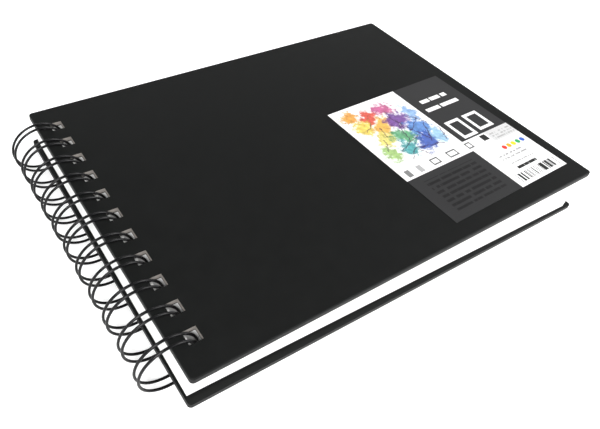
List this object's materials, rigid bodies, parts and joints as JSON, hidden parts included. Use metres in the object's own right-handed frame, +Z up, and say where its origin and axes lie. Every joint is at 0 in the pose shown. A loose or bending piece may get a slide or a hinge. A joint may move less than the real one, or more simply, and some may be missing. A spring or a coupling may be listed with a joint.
{
  "type": "wire-bound sketchbook",
  "caption": "Closed landscape sketchbook with black hard covers, white drawing paper and black twin-loop wire along one short side; covers and sheets turn on the wire.",
  "frame": {"origin": "under the middle of the closed book's bounding box, level with the lowest point of the wire loops", "axes": "+X from the wire-bound spine to the fore edge, +Y along the spine, +Z up out of the front cover"},
  "size_m": [0.229, 0.156, 0.0281],
  "materials": {
    "wire": "gloss",
    "cover_black": "satin",
    "liner_black": "matte",
    "board": "matte",
    "paper": "matte",
    "label": "satin"
  },
  "bodies": {
    "back_cover_and_wire": {"wire": "wire", "back_wrap": "cover_black", "back_board": "board", "back_liner": "liner_black"},
    "rear_sheets": {"sheet_21": "paper", "sheet_22": "paper", "sheet_23": "paper", "sheet_24": "paper", "sheet_25": "paper", "sheet_26": "paper", "sheet_27": "paper", "sheet_28": "paper", "sheet_29": "paper", "sheet_30": "paper", "sheet_31": "paper", "sheet_32": "paper", "sheet_33": "paper", "sheet_34": "paper", "sheet_35": "paper", "sheet_36": "paper", "sheet_37": "paper", "sheet_38": "paper", "sheet_39": "paper", "sheet_40": "paper"},
    "front_sheets": {"sheet_02": "paper", "sheet_03": "paper", "sheet_04": "paper", "sheet_05": "paper", "sheet_06": "paper", "sheet_07": "paper", "sheet_08": "paper", "sheet_09": "paper", "sheet_10": "paper", "sheet_11": "paper", "sheet_12": "paper", "sheet_13": "paper", "sheet_14": "paper", "sheet_15": "paper", "sheet_16": "paper", "sheet_17": "paper", "sheet_18": "paper", "sheet_19": "paper", "sheet_20": "paper"},
    "first_sheet": {"sheet_01": "paper"},
    "front_cover": {"front_wrap": "cover_black", "front_board": "board", "front_liner": "liner_black", "label": "label"}
  },
  "joints": [
    {"name": "rear_sheets_turn", "type": "hinge", "parent": "back_cover_and_wire", "child": "rear_sheets", "pos_m": [-0.10182, 0, 0.01265], "axis": [0, -1, 0], "range_deg": [0, 180]},
    {"name": "front_sheets_turn", "type": "hinge", "parent": "rear_sheets", "child": "front_sheets", "pos_m": [-0.10182, 0, 0.01265], "axis": [0, -1, 0], "range_deg": [0, 180]},
    {"name": "first_sheet_turn", "type": "hinge", "parent": "front_sheets", "child": "first_sheet", "pos_m": [-0.10182, 0, 0.01265], "axis": [0, -1, 0], "range_deg": [0, 180]},
    {"name": "front_cover_turn", "type": "hinge", "parent": "first_sheet", "child": "front_cover", "pos_m": [-0.10182, 0, 0.01265], "axis": [0, -1, 0], "range_deg": [0, 180]}
  ]
}
